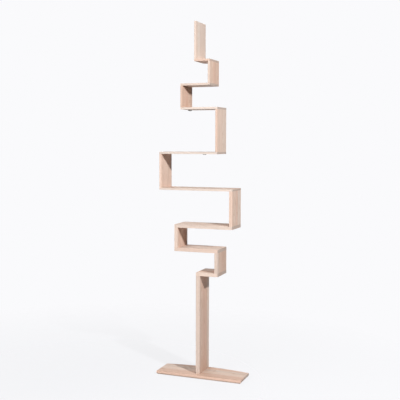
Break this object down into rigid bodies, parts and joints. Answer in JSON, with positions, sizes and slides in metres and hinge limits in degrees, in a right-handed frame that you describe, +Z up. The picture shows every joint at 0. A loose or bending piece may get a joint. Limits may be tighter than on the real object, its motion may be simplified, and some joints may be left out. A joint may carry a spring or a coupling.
{
  "type": "spine bookshelf",
  "caption": "Free-standing zigzag bookshelf: one stepped line of shelves and uprights climbs from a narrow column on a flat base plate.",
  "frame": {"origin": "on the floor, under the middle of the base plate", "axes": "+Z up, +X to the right seen from the front, -Y towards the front, +Y towards the wall"},
  "size_m": [0.54, 0.19, 2.118],
  "materials": {
    "oak": "white-oiled oak, satin",
    "birch_ply": "raw birch plywood",
    "bright_steel": "zinc plated",
    "brass": "turned",
    "dark_steel": "burnished dark",
    "felt": "pressed wool felt"
  },
  "bodies": {
    "root": {"base_plate": "oak", "column": "oak", "shelf_1": "oak", "shelf_2": "oak", "shelf_3": "oak", "shelf_4": "oak", "shelf_5": "oak", "shelf_6": "oak", "shelf_7": "oak", "shelf_8": "oak", "upright_1": "oak", "upright_2": "oak", "upright_3": "oak", "upright_4": "oak", "upright_5": "oak", "upright_6": "oak", "upright_7": "oak", "upright_8": "oak", "tongue_under_shelf_1": "birch_ply", "tongue_over_shelf_1": "birch_ply", "tongue_under_shelf_2": "birch_ply", "tongue_over_shelf_2": "birch_ply", "tongue_under_shelf_3": "birch_ply", "tongue_over_shelf_3": "birch_ply", "tongue_under_shelf_4": "birch_ply", "tongue_over_shelf_4": "birch_ply", "tongue_under_shelf_5": "birch_ply", "tongue_over_shelf_5": "birch_ply", "tongue_under_shelf_6": "birch_ply", "tongue_over_shelf_6": "birch_ply", "tongue_under_shelf_7": "birch_ply", "tongue_over_shelf_7": "birch_ply", "tongue_under_shelf_8": "birch_ply", "tongue_over_shelf_8": "birch_ply", "base_bolts": "bright_steel", "threaded_inserts": "brass", "felt_pads": "felt", "lower_strap_loop": "dark_steel", "upper_strap_loop": "dark_steel", "lower_loop_screws": "dark_steel", "upper_loop_screws": "dark_steel"}
  },
  "joints": []
}
